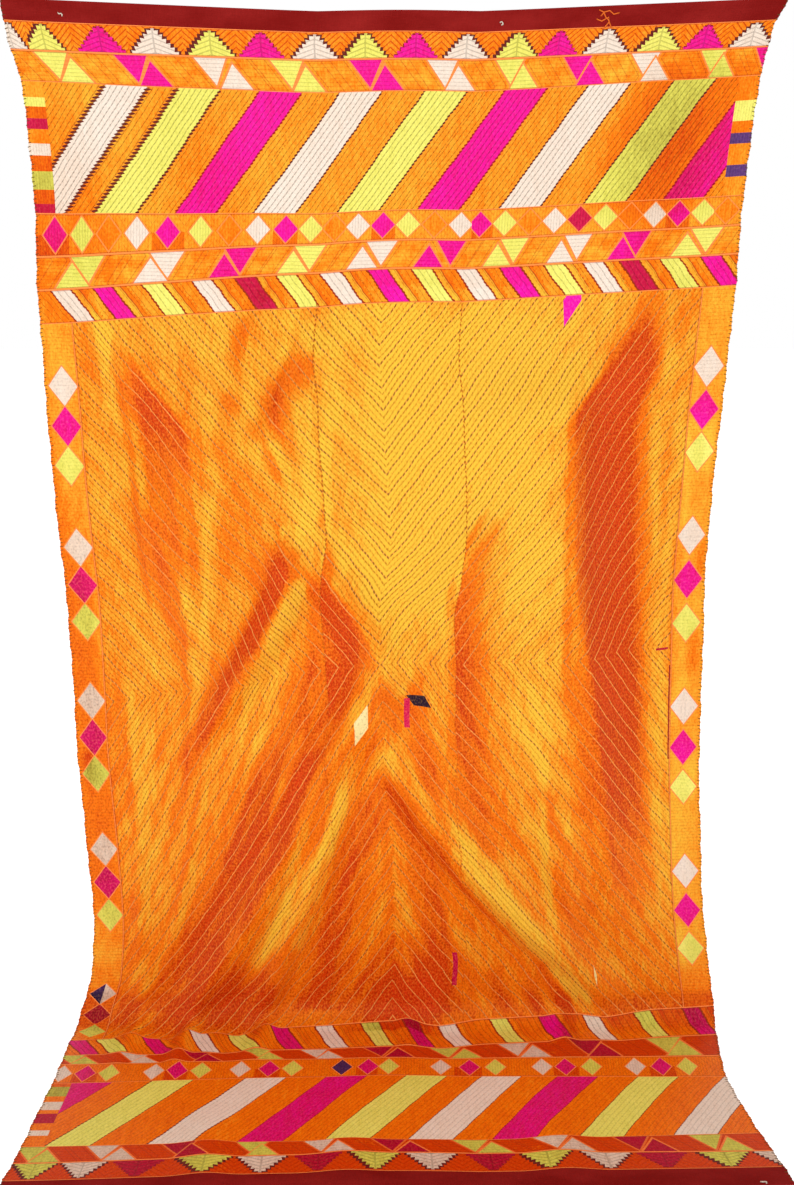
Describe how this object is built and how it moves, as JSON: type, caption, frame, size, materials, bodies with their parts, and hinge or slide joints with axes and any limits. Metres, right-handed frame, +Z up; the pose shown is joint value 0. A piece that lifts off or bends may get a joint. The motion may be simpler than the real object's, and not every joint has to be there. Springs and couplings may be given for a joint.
{
  "type": "phulkari shawl",
  "caption": "Rectangular embroidered shawl sewn from woven lengths, hanging from its top edge with its lower end lying forward on the floor.",
  "frame": {"origin": "middle of the shawl's top edge, where it is held", "axes": "+Z up, -Y towards the embroidered side that is seen, +X to the viewer's right"},
  "size_m": [1.288, 0.5084, 1.839],
  "materials": {
    "silk_embroidery": "satin",
    "maroon_cotton": "matte"
  },
  "bodies": {
    "root": {"panel_left": "silk_embroidery", "panel_middle": "silk_embroidery", "panel_right": "silk_embroidery"}
  },
  "joints": []
}
